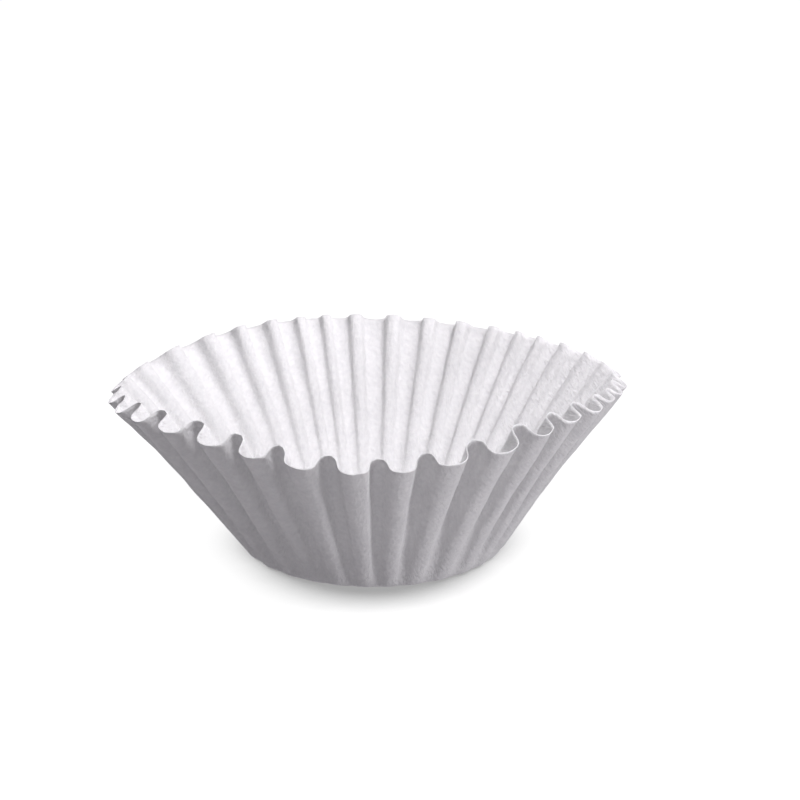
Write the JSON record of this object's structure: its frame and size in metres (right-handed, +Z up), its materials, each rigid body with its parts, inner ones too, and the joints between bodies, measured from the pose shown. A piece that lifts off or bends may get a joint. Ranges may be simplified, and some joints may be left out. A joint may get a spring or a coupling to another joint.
{
  "type": "paper coffee filter",
  "caption": "White crepe paper basket filter with a round flat bottom and a flared wall in soft, uneven flutes, for a flat-bottomed drip coffee maker.",
  "frame": {"origin": "centre of the underside of the flat bottom", "axes": "+Z up through the open mouth, -Y to the side that the picture shows in front, +X to its right"},
  "size_m": [0.163, 0.1589, 0.0574],
  "materials": {
    "filter_paper": "matte crepe, bleached white"
  },
  "bodies": {
    "root": {"paper_filter": "filter_paper"}
  },
  "joints": []
}
